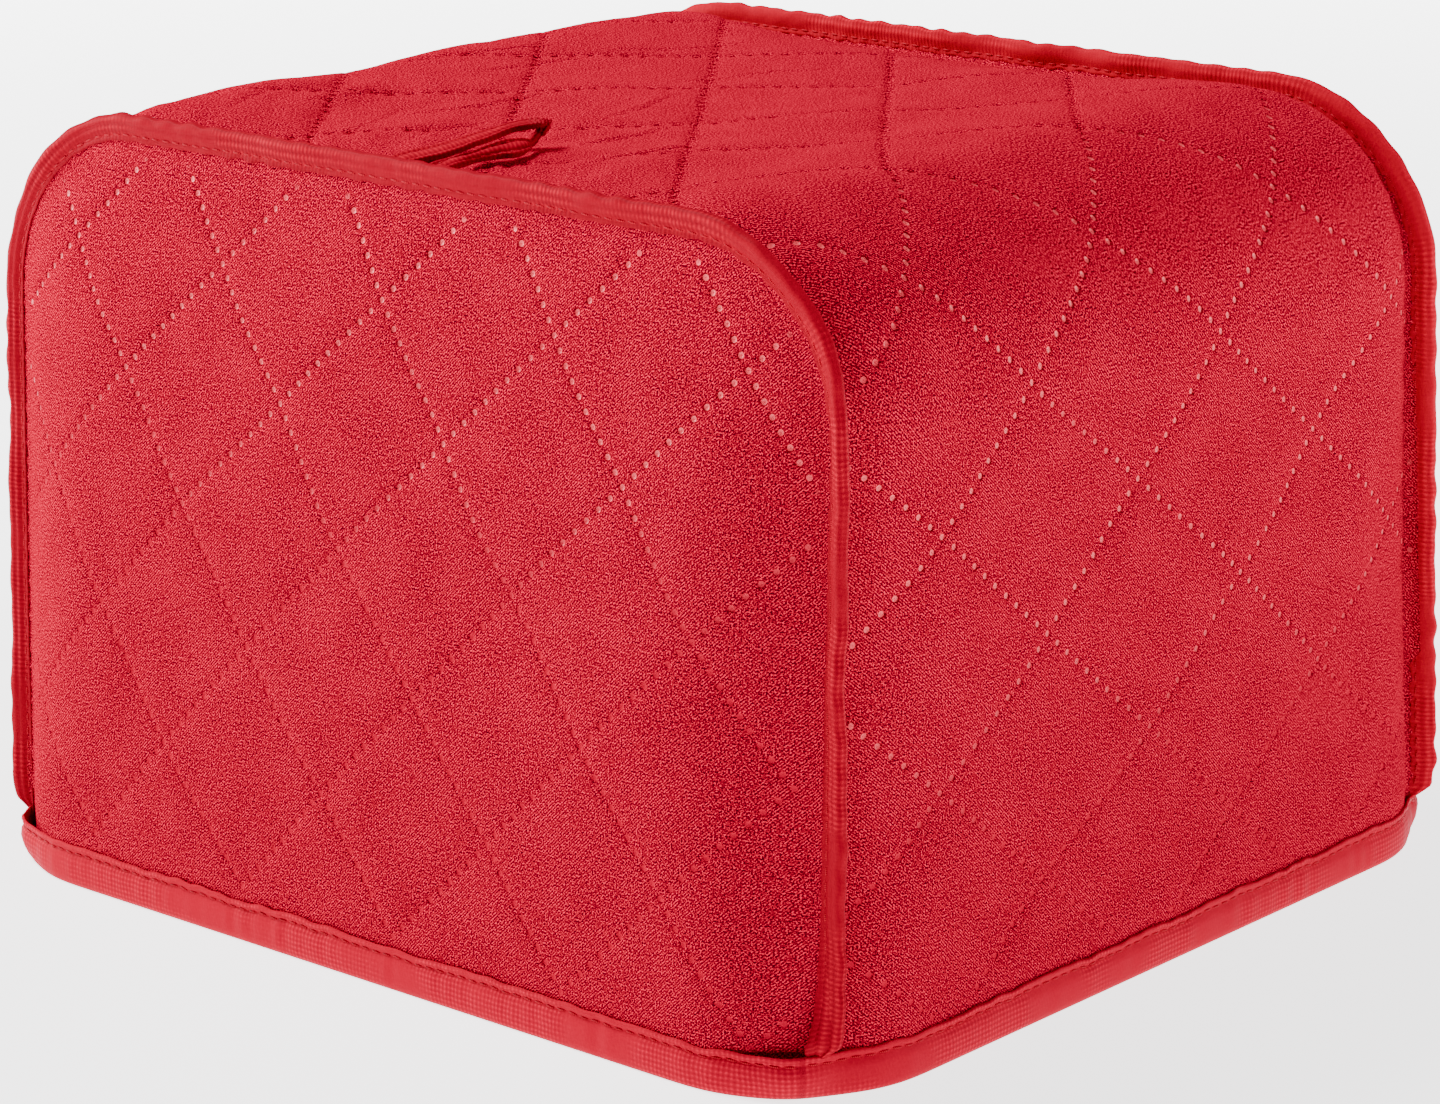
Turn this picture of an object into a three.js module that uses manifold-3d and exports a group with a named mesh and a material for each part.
import * as THREE from "three";
import { mergeVertices } from "three/addons/utils/BufferGeometryUtils.js";
import Module from "manifold-3d";

const wasm = await Module();
wasm.setup();

// Driving sizes of a quilted cloth cover for a four-slice toaster, mm

// X runs from one rounded end panel to the other, Y along their width, Z up from the hem
const seamHalfWidth = 136;
const seamTop = 194;
const shoulderRadius = 41;
const seamHalfDepthHem = 123.7;
const seamHalfDepthTop = 115;
const sheet = 1.8;
const tape = 1.0;
const gap = 0.3;

// the seam allowance is turned outward and bound, so it stands up as a fin
const finWidth = 9;
const finWidthAtHem = 5.5;
const finStart = 11.4;
const finLow = 14;
const finFull = 30;
const flangeInHem = 1;
const panelLegEnd = 0.5;
const gussetLegEnd = 4;
const tipChamfer = 0.8;
const legShortOfTip = 1.4;

const hemHeight = 11;
const hemZone = 11.2;
const hemFloor = tape + gap;
const hair = 0.01;
const hemCornerInset = 2.5;

// diamond quilting: one crossing of the welded lines, and the diamond's two diagonals
const pillowHeight = 1;
const panelQuilt = { y: 113, z: 172.6, across: 56.6, up: 62.9, slant: 0.12 };
const gussetQuilt = { x: -87.9, s: 186, across: 74.7, up: 59.8 };
const stepsPerDiamond = 4;

// how near the lines of the grids come to the shoulders, the hem and the seams
const shoulderClear = 3;
const drawnSidewaysClear = 5;
const hemClear = 6;
const gussetMiddle = 103.5;
const besideSeam = { outside: [1.9, 5.5], inside: [0.5, 5.5] };
const turnHeight = { outside: 2, inside: 0.2 };

const shoulderSteps = 10;
const finMiddle = 92;
const wallLength = seamTop - shoulderRadius;
const arcLength = (Math.PI / 2) * shoulderRadius;
const flatHalf = seamHalfWidth - shoulderRadius;
const profileLength = 2 * (wallLength + arcLength + flatHalf);

// how far each cloth stands out past its seams, and over what width it rises
const gussetFullness = [
  { at: 0, rise: 9.5, over: 24 },
  { at: 14, rise: 9.5, over: 24 },
  { at: 90, rise: 8.5, over: 42 },
  { at: 153, rise: 7, over: 26 },
  { at: 185, rise: 8, over: 18 },
  { at: 217, rise: 8, over: 22 },
  { at: 262, rise: 5, over: 36 },
  { at: 313, rise: 3.5, over: 45 },
];
const panelFullness = [
  { at: 0, rise: 12.5, over: 28 },
  { at: 14, rise: 12.5, over: 28 },
  { at: 60, rise: 13.5, over: 42 },
  { at: 110, rise: 12, over: 42 },
  { at: 150, rise: 8, over: 38 },
  { at: 194, rise: 3.5, over: 30 },
];

const loop = {
  width: 8,
  thickness: 1.3,
  reach: 52,
  turnRadius: 5,
  legs: [-4, 19],
  bight: 1.5,
  clear: 0.6,
  lift: 3.5,
  legSteps: 9,
  turnSteps: 8,
};

// Shape of the cover

function smooth(t) {
  const c = THREE.MathUtils.clamp(t, 0, 1);
  return c * c * (3 - 2 * c);
}

function tableAt(table, at, key) {
  const next = table.findIndex((row) => row.at > at);
  if (next < 0) return table[table.length - 1][key];
  if (next === 0) return table[0][key];
  const a = table[next - 1];
  const b = table[next];
  return THREE.MathUtils.lerp(a[key], b[key], smooth((at - a.at) / (b.at - a.at)));
}

// a cloth leaves its seam at a slant and levels out, like a soft cushion edge
function cushion(distance, over) {
  const t = THREE.MathUtils.clamp(distance / over, 0, 1);
  return 1 - (1 - t) ** 2.2;
}

// a and b are counted in whole diamonds from a crossing
function pillow(a, b) {
  const falling = Math.abs(Math.sin(Math.PI * (a - b)));
  const rising = Math.abs(Math.sin(Math.PI * (a + b)));
  return pillowHeight * (falling * rising) ** 0.6;
}

// the rows of diamonds on a panel drift sideways a little from top to hem
function panelDrift(y, height) {
  const z = Math.max(height, hemZone);
  const hold = 1 - Math.min(Math.abs(y) / flatHalf, 1) ** 4;
  return panelQuilt.slant * (panelQuilt.z - z) * hold;
}

function seamHalfDepth(z) {
  const t = Math.max(z, hemZone) / (seamTop + finWidth);
  return THREE.MathUtils.lerp(seamHalfDepthHem, seamHalfDepthTop, t);
}

function finWidthAt(z) {
  const t = THREE.MathUtils.clamp((z - finLow) / (finFull - finLow), 0, 1);
  return THREE.MathUtils.lerp(finWidthAtHem, finWidth, t);
}

function flangeWidthAt(z) {
  if (z <= hemZone + hair) return flangeInHem;
  return finWidthAt(z) - tape - gap;
}

// the seam line seen along X, by its length s from the floor of the -Y wall
function seamPoint(s) {
  const half = profileLength / 2;
  const mirrored = s > half;
  const d = mirrored ? profileLength - s : s;
  let y = -seamHalfWidth;
  let z = d;
  let ny = -1;
  let nz = 0;
  if (d > wallLength + arcLength) {
    y = -flatHalf + (d - wallLength - arcLength);
    z = seamTop;
    ny = 0;
    nz = 1;
  } else if (d > wallLength) {
    const angle = (d - wallLength) / shoulderRadius;
    ny = -Math.cos(angle);
    nz = Math.sin(angle);
    y = -flatHalf + shoulderRadius * ny;
    z = wallLength + shoulderRadius * nz;
  }
  return { y: mirrored ? -y : y, z, ny: mirrored ? -ny : ny, nz, d };
}

function finPoint(s, side, outward, n) {
  const p = seamPoint(s);
  const y = p.y + p.ny * n;
  const z = p.z + p.nz * n;
  return new THREE.Vector3(side * (seamHalfDepth(z) + outward), y, z);
}

function insetFromSeam(y, z) {
  const p = Math.abs(y) - flatHalf;
  const q = z - wallLength;
  if (p > 0 && q > 0) return shoulderRadius - Math.hypot(p, q);
  return Math.min(seamHalfWidth - Math.abs(y), seamTop - z);
}

function panelRise(y, z) {
  const zc = Math.max(z, hemZone);
  const inset = Math.max(insetFromSeam(y, zc), 0);
  const over = tableAt(panelFullness, zc, "over");
  return tableAt(panelFullness, zc, "rise") * cushion(inset, over);
}

function panelPillow(y, z) {
  const fade = smooth((insetFromSeam(y, z) - 3) / 9) * smooth((z - 14) / 12);
  const a = (y - panelDrift(y, z) - panelQuilt.y) / panelQuilt.across;
  return fade * pillow(a, (z - panelQuilt.z) / panelQuilt.up);
}

function gussetRise(distance, d) {
  const dc = Math.max(d, hemZone);
  const over = tableAt(gussetFullness, dc, "over");
  return tableAt(gussetFullness, dc, "rise") * cushion(Math.max(distance, 0), over);
}

function gussetPillow(x, s, distance, d) {
  const fade = smooth((distance - 3) / 9) * smooth((d - 14) / 12);
  return fade * gussetDiamond(x, s);
}

function gussetDiamond(x, s) {
  return pillow((x - gussetQuilt.x) / gussetQuilt.across, (s - gussetQuilt.s) / gussetQuilt.up);
}

// Closed sheets

function edgesOf(grid) {
  const last = grid.length - 1;
  const width = grid[0].length - 1;
  return [
    grid[0],
    grid.map((row) => row[width]),
    [...grid[last]].reverse(),
    grid.map((row) => row[0]).reverse(),
  ];
}

function runLengths(line) {
  const sums = [0];
  for (let i = 1; i < line.length; i++) sums.push(sums[i - 1] + line[i].distanceTo(line[i - 1]));
  const total = sums[sums.length - 1];
  return sums.map((v) => v / total);
}

function zipEdge(outer, inner, triangles) {
  const a = runLengths(outer);
  const b = runLengths(inner);
  let i = 0;
  let j = 0;
  while (i < outer.length - 1 || j < inner.length - 1) {
    const stepOuter = j === inner.length - 1 || (i < outer.length - 1 && a[i + 1] <= b[j + 1]);
    if (stepOuter) {
      triangles.push([outer[i], inner[j], outer[i + 1]]);
      i += 1;
    } else {
      triangles.push([outer[i], inner[j], inner[j + 1]]);
      j += 1;
    }
  }
}

// each cell is split along the diagonal that follows a quilting line
function addGrid(grid, heights, flipped, triangles) {
  for (let i = 0; i + 1 < grid.length; i++) {
    for (let j = 0; j + 1 < grid[0].length; j++) {
      const [a, b, c, d] = [grid[i][j], grid[i][j + 1], grid[i + 1][j + 1], grid[i + 1][j]];
      const direct = heights
        ? heights[i][j] + heights[i + 1][j + 1] <= heights[i][j + 1] + heights[i + 1][j]
        : true;
      const pair = direct ? [[a, b, c], [a, c, d]] : [[a, b, d], [b, c, d]];
      for (const t of pair) triangles.push(flipped ? [t[0], t[2], t[1]] : t);
    }
  }
}

function geometryFrom(triangles) {
  const points = triangles.flat().flatMap((p) => [p.x, p.y, p.z]);
  const geometry = new THREE.BufferGeometry();
  geometry.setAttribute("position", new THREE.Float32BufferAttribute(points, 3));
  return geometry;
}

function closedSheet(outer, heights, inner, flipped) {
  const triangles = [];
  addGrid(outer, heights, flipped, triangles);
  addGrid(inner, null, !flipped, triangles);
  const outerEdges = edgesOf(outer);
  const innerEdges = edgesOf(inner);
  outerEdges.forEach((edge, k) => {
    const rim = [];
    zipEdge(edge, innerEdges[k], rim);
    for (const t of rim) triangles.push(flipped ? [t[0], t[2], t[1]] : t);
  });
  return geometryFrom(triangles);
}

function latticeLines(origin, step, from, to) {
  const lines = [];
  const first = Math.ceil((from - origin) / step);
  for (let k = first; origin + k * step <= to; k++) lines.push(origin + k * step);
  return lines;
}

function shoulderLines() {
  const lines = [];
  const half = shoulderSteps / 2;
  for (let k = 0; k <= half; k++) lines.push(Math.tan((k * Math.PI) / 4 / half));
  return lines;
}

// Rounded end panels

function panelPlace(column, row) {
  const p = (Math.abs(column.at) - flatHalf) / shoulderRadius;
  const q = (row.at - wallLength) / shoulderRadius;
  const sign = Math.sign(column.at);
  if (p > 0 && q > 0) {
    const flange = column.edge || row.edge ? finWidth - tape - gap : 0;
    const radius = shoulderRadius * Math.max(p, q) + flange;
    const length = Math.hypot(p, q);
    return [sign * (flatHalf + (radius * p) / length), wallLength + (radius * q) / length];
  }
  const inside = column.at + (column.drifts ? panelDrift(column.at, row.at) : 0);
  const y = column.edge ? column.at + sign * flangeWidthAt(row.at) : inside;
  const z = row.edge ? row.at + finWidth - tape - gap : row.at;
  return [y, z];
}

function panelLines(stepsEach) {
  const middle = flatHalf - drawnSidewaysClear;
  const side = shoulderLines().map((v) => flatHalf + shoulderRadius * v);
  const across = panelQuilt.across / stepsEach;
  const up = panelQuilt.up / stepsEach;
  const columns = [
    { at: -seamHalfWidth, edge: true },
    ...side.map((at) => ({ at: -at })).reverse(),
    ...latticeLines(panelQuilt.y, across, -middle, middle).map((at) => ({ at, drifts: true })),
    ...side.map((at) => ({ at })),
    { at: seamHalfWidth, edge: true },
  ];
  const rows = [
    ...[hemFloor, hemZone, finLow, finFull].map((at) => ({ at })),
    ...latticeLines(panelQuilt.z, up, finFull + hemClear, wallLength - shoulderClear).map((at) => ({ at })),
    ...side.map((at) => ({ at: at - flatHalf + wallLength })),
    { at: seamTop, edge: true },
  ];
  return { columns, rows };
}

function panelGeometry(side) {
  const fine = panelLines(stepsPerDiamond);
  const coarse = panelLines(stepsPerDiamond / 2);
  const heights = [];
  const outer = fine.rows.map((row) => {
    const line = fine.columns.map((column) => panelPlace(column, row));
    heights.push(line.map(([y, z]) => panelPillow(y, z)));
    return line.map(([y, z]) => {
      const out = sheet / 2 + panelRise(y, z) + panelPillow(y, z);
      return new THREE.Vector3(side * (seamHalfDepth(z) + out), y, z);
    });
  });
  const inner = coarse.rows.map((row) =>
    coarse.columns.map((column) => {
      const [y, z] = panelPlace(column, row);
      const out = panelRise(y, z) - sheet / 2;
      return new THREE.Vector3(side * (seamHalfDepth(z) + out), y, z);
    }),
  );
  return closedSheet(outer, heights, inner, side < 0);
}

// Gusset: wall, top and wall in one strip, with its long edges turned out into the fins

function profileStations(stepsEach) {
  const step = gussetQuilt.up / stepsEach;
  const half = profileLength / 2;
  const low = [hemFloor, hemZone, finLow, finFull];
  const wall = latticeLines(gussetQuilt.s, step, finFull + hemClear, wallLength - shoulderClear);
  const arc = [];
  for (let k = 0; k <= shoulderSteps; k++) {
    arc.push(wallLength + (arcLength * k) / shoulderSteps);
  }
  const mirror = (s) => profileLength - s;
  const top = latticeLines(
    gussetQuilt.s,
    step,
    half - flatHalf + shoulderClear,
    half + flatHalf - shoulderClear,
  );
  const farWall = latticeLines(
    gussetQuilt.s,
    step,
    mirror(wallLength) + shoulderClear,
    mirror(finFull) - hemClear,
  );
  return [
    ...low,
    ...wall,
    ...arc,
    ...top,
    ...arc.map(mirror).reverse(),
    ...farWall,
    ...low.map(mirror).reverse(),
  ];
}

// the flange middle lies one sheet and one gap inside the panel's own middle
const flangeDepth = sheet + gap;

function gussetColumns(stepsEach, outside) {
  const step = gussetQuilt.across / stepsEach;
  const reach = outside ? sheet / 2 : -sheet / 2;
  const turn = outside
    ? { inward: flangeDepth + sheet / 2, n: turnHeight.outside }
    : { inward: sheet / 2 + gap, n: turnHeight.inside };
  const tip = { inward: turn.inward, tip: true };
  const near = outside ? besideSeam.outside : besideSeam.inside;
  const edge = [tip, turn, ...near.map((v) => ({ inward: flangeDepth + v, reach }))];
  const lines = latticeLines(gussetQuilt.x, step, -gussetMiddle, gussetMiddle);
  const middle = lines.map((x) => ({ x, reach }));
  return [
    ...edge.map((c) => ({ ...c, side: -1 })),
    ...middle,
    ...edge.map((c) => ({ ...c, side: 1 })).reverse(),
  ];
}

function gussetPoint(column, s, raised) {
  const seam = seamPoint(s);
  if (column.tip) return finPoint(s, column.side, -column.inward, flangeWidthAt(seam.d));
  if (column.reach === undefined) {
    const n = seam.d <= hemZone + hair ? Math.min(column.n, flangeInHem - 0.2) : column.n;
    return finPoint(s, column.side, -column.inward, n);
  }
  const edgeX = seamHalfDepth(seam.z);
  const x = column.x === undefined ? column.side * (edgeX - column.inward) : column.x;
  const distance = edgeX - flangeDepth - Math.abs(x);
  const lift = raised ? gussetPillow(x, s, distance, seam.d) : 0;
  const n = gussetRise(distance, seam.d) + column.reach + lift;
  return new THREE.Vector3(x, seam.y + seam.ny * n, seam.z + seam.nz * n);
}

function gussetGeometry() {
  const heights = [];
  const outerColumns = gussetColumns(stepsPerDiamond, true);
  const innerColumns = gussetColumns(stepsPerDiamond / 2, false);
  const outer = profileStations(stepsPerDiamond).map((s) => {
    heights.push(outerColumns.map((c) => (c.x === undefined ? 0 : gussetDiamond(c.x, s))));
    return outerColumns.map((c) => gussetPoint(c, s, true));
  });
  const inner = profileStations(stepsPerDiamond / 2).map((s) =>
    innerColumns.map((c) => gussetPoint(c, s, false)),
  );
  return closedSheet(outer, heights, inner, false);
}

// Bias tape folded over each fin

function finSection(z) {
  const tip = finWidthAt(z);
  const outFace = sheet / 2 + gap;
  const inFace = -(flangeDepth + sheet / 2 + gap);
  const leg = Math.min(gussetLegEnd, tip - legShortOfTip);
  return [
    [outFace + tape, panelLegEnd],
    [outFace + tape, tip - tipChamfer],
    [outFace + tape - tipChamfer, tip],
    [inFace - tape + tipChamfer, tip],
    [inFace - tape, tip - tipChamfer],
    [inFace - tape, leg],
    [inFace, leg],
    [inFace, tip - tape],
    [outFace, tip - tape],
    [outFace, panelLegEnd],
  ];
}

function finStations() {
  const low = [finStart, finLow, finFull, finMiddle];
  const arc = [];
  for (let k = 0; k <= shoulderSteps; k++) {
    arc.push(wallLength + (arcLength * k) / shoulderSteps);
  }
  const half = [...low, ...arc];
  const mirrored = half.map((s) => profileLength - s).reverse();
  return [...half, profileLength / 2, ...mirrored];
}

function bindingGeometry(side) {
  const rings = finStations().map((s) => {
    const { d } = seamPoint(s);
    return finSection(d).map(([outward, n]) => finPoint(s, side, outward, n));
  });
  const triangles = [];
  const count = rings[0].length;
  for (let i = 0; i + 1 < rings.length; i++) {
    for (let j = 0; j < count; j++) {
      const k = (j + 1) % count;
      triangles.push([rings[i][j], rings[i][k], rings[i + 1][k]]);
      triangles.push([rings[i][j], rings[i + 1][k], rings[i + 1][j]]);
    }
  }
  const flat = finSection(finStart).map(([a, b]) => new THREE.Vector2(a, b));
  const caps = THREE.ShapeUtils.triangulateShape(flat, []);
  const lastRing = rings[rings.length - 1];
  for (const [a, b, c] of caps) {
    triangles.push([rings[0][a], rings[0][c], rings[0][b]]);
    triangles.push([lastRing[a], lastRing[b], lastRing[c]]);
  }
  return outwardFacing(geometryFrom(triangles));
}

function outwardFacing(geometry) {
  const merged = mergeVertices(geometry, 1e-4);
  const p = merged.attributes.position;
  const index = merged.index.array;
  const [a, b, c] = [new THREE.Vector3(), new THREE.Vector3(), new THREE.Vector3()];
  let volume = 0;
  for (let i = 0; i < index.length; i += 3) {
    a.fromBufferAttribute(p, index[i]);
    b.fromBufferAttribute(p, index[i + 1]);
    c.fromBufferAttribute(p, index[i + 2]);
    volume += a.dot(b.cross(c));
  }
  if (volume < 0) {
    for (let i = 0; i < index.length; i += 3) {
      [index[i + 1], index[i + 2]] = [index[i + 2], index[i + 1]];
    }
  }
  return merged;
}

// Tape bound round the whole lower edge

function panelHemPoints(side, outside) {
  const reach = outside ? sheet / 2 : -sheet / 2;
  const { columns } = panelLines(outside ? stepsPerDiamond : stepsPerDiamond / 2);
  const inner = columns.filter((c) => Math.abs(c.at) < seamHalfWidth - hemCornerInset);
  const points = inner.map((c) => {
    const [y] = panelPlace(c, { at: hemZone });
    return [side * (seamHalfDepth(0) + panelRise(y, 0) + reach), y];
  });
  if (outside) {
    const tip = side * (seamHalfDepth(0) + reach);
    points.unshift([tip, -(seamHalfWidth + flangeInHem)]);
    points.push([tip, seamHalfWidth + flangeInHem]);
  }
  return side > 0 ? points : points.reverse();
}

function gussetHemPoints(side, outside) {
  const columns = gussetColumns(outside ? stepsPerDiamond : stepsPerDiamond / 2, outside);
  const s = side < 0 ? hemZone : profileLength - hemZone;
  const points = columns
    .filter((c) => c.reach !== undefined)
    .map((c) => gussetPoint(c, s, false))
    .map((p) => [p.x, p.y]);
  return side < 0 ? points : points.reverse();
}

function hemOutline(outside, offset) {
  const loopPoints = [
    ...panelHemPoints(-1, outside),
    ...gussetHemPoints(-1, outside),
    ...panelHemPoints(1, outside),
    ...gussetHemPoints(1, outside),
  ];
  const count = loopPoints.length;
  return loopPoints.map(([x, y], i) => {
    const before = loopPoints[(i + count - 1) % count];
    const after = loopPoints[(i + 1) % count];
    const a = new THREE.Vector2(x - before[0], y - before[1]).normalize();
    const b = new THREE.Vector2(after[0] - x, after[1] - y).normalize();
    const normal = new THREE.Vector2(a.y + b.y, -(a.x + b.x)).normalize();
    const stretch = offset / Math.max(normal.dot(new THREE.Vector2(a.y, -a.x)), 0.5);
    return new THREE.Vector2(x + normal.x * stretch, y + normal.y * stretch);
  });
}

function prism(outline, from, to) {
  const geometry = new THREE.ExtrudeGeometry(new THREE.Shape(outline), {
    depth: to - from,
    bevelEnabled: false,
  });
  geometry.translate(0, 0, from);
  return solidOf(geometry);
}

function solidOf(geometry) {
  const bare = new THREE.BufferGeometry();
  const plain = geometry.index ? geometry.toNonIndexed() : geometry;
  bare.setAttribute("position", plain.getAttribute("position"));
  const merged = mergeVertices(bare, 1e-4);
  return new wasm.Manifold(
    new wasm.Mesh({
      numProp: 3,
      vertProperties: merged.attributes.position.array,
      triVerts: new Uint32Array(merged.index.array),
    }),
  );
}

function geometryOf(solid) {
  const mesh = solid.getMesh();
  const geometry = new THREE.BufferGeometry();
  geometry.setAttribute("position", new THREE.Float32BufferAttribute(mesh.vertProperties, 3));
  geometry.setIndex(new THREE.Uint32BufferAttribute(mesh.triVerts, 1));
  return geometry.toNonIndexed();
}

function hemGeometry() {
  const whole = prism(hemOutline(true, gap + tape), 0, hemHeight);
  const inside = prism(hemOutline(false, -(gap + tape)), -1, hemHeight + 1);
  const slotOuter = prism(hemOutline(true, gap), tape, hemHeight + 1);
  const slotInner = prism(hemOutline(false, -gap), 0, hemHeight + 2);
  return geometryOf(whole.subtract(inside).subtract(slotOuter.subtract(slotInner)));
}

// Hanging loop: one flat tape, both ends at the seam of the -X panel

function topSurface(x, y) {
  const s = profileLength / 2 + y;
  const distance = seamHalfDepth(seamTop) - flangeDepth - Math.abs(x);
  const d = Math.min(s, profileLength - s);
  return seamTop + gussetRise(distance, d) + sheet / 2 + pillowHeight;
}

function loopGeometry() {
  const start = -(seamHalfDepth(seamTop + finWidth) - flangeDepth - sheet / 2 - gap - tape - gap);
  const turnX = -seamHalfDepth(seamTop) + loop.reach - loop.turnRadius - loop.width / 2;
  const [legA, legB] = loop.legs;
  const path = [];
  const { legSteps, turnSteps } = loop;
  for (let k = 0; k <= legSteps; k++) {
    const t = k / legSteps;
    const y = THREE.MathUtils.lerp(legA, loop.bight - loop.turnRadius, smooth(t));
    path.push(new THREE.Vector2(THREE.MathUtils.lerp(start, turnX, t), y));
  }
  for (let k = 1; k < turnSteps; k++) {
    const angle = -Math.PI / 2 + (Math.PI * k) / turnSteps;
    path.push(
      new THREE.Vector2(
        turnX + loop.turnRadius * Math.cos(angle),
        loop.bight + loop.turnRadius * Math.sin(angle),
      ),
    );
  }
  for (let k = legSteps; k >= 0; k--) {
    const t = k / legSteps;
    const y = THREE.MathUtils.lerp(legB, loop.bight + loop.turnRadius, smooth(t));
    path.push(new THREE.Vector2(THREE.MathUtils.lerp(start, turnX, t), y));
  }
  const rings = path.map((p, i) => {
    const before = path[Math.max(i - 1, 0)];
    const after = path[Math.min(i + 1, path.length - 1)];
    const along = new THREE.Vector2().subVectors(after, before).normalize();
    if (i === 0 || i === path.length - 1) along.set(Math.sign(along.x), 0);
    const side = new THREE.Vector2(-along.y, along.x).multiplyScalar(loop.width / 2);
    const t = (p.x - start) / (turnX - start);
    const base = topSurface(p.x, p.y) + loop.clear + loop.lift * smooth(t);
    const corners = [
      [1, 0],
      [1, loop.thickness],
      [-1, loop.thickness],
      [-1, 0],
    ];
    return corners.map(([c, h]) => new THREE.Vector3(p.x + side.x * c, p.y + side.y * c, base + h));
  });
  const triangles = [];
  for (let i = 0; i + 1 < rings.length; i++) {
    for (let j = 0; j < 4; j++) {
      const k = (j + 1) % 4;
      triangles.push([rings[i][j], rings[i][k], rings[i + 1][k]]);
      triangles.push([rings[i][j], rings[i + 1][k], rings[i + 1][j]]);
    }
  }
  const end = rings[rings.length - 1];
  triangles.push([rings[0][0], rings[0][2], rings[0][1]], [rings[0][0], rings[0][3], rings[0][2]]);
  triangles.push([end[0], end[1], end[2]], [end[0], end[2], end[3]]);
  return outwardFacing(geometryFrom(triangles));
}

// Materials and pieces

const brushedCloth = new THREE.MeshStandardMaterial({ color: "#cf2438", roughness: 0.92, metalness: 0 });
const biasTape = new THREE.MeshStandardMaterial({ color: "#c61b2e", roughness: 0.7, metalness: 0 });

const group = new THREE.Group();
group.name = "toaster_cover";

function addPiece(name, geometry, material) {
  const mesh = new THREE.Mesh(geometry, material);
  mesh.name = name;
  geometry.computeVertexNormals();
  group.add(mesh);
}

addPiece("panel_near", outwardFacing(panelGeometry(-1)), brushedCloth);
addPiece("panel_far", outwardFacing(panelGeometry(1)), brushedCloth);
addPiece("gusset", outwardFacing(gussetGeometry()), brushedCloth);
addPiece("binding_near", bindingGeometry(-1), biasTape);
addPiece("binding_far", bindingGeometry(1), biasTape);
addPiece("hem_binding", hemGeometry(), biasTape);
addPiece("hang_loop", loopGeometry(), biasTape);

export default group;
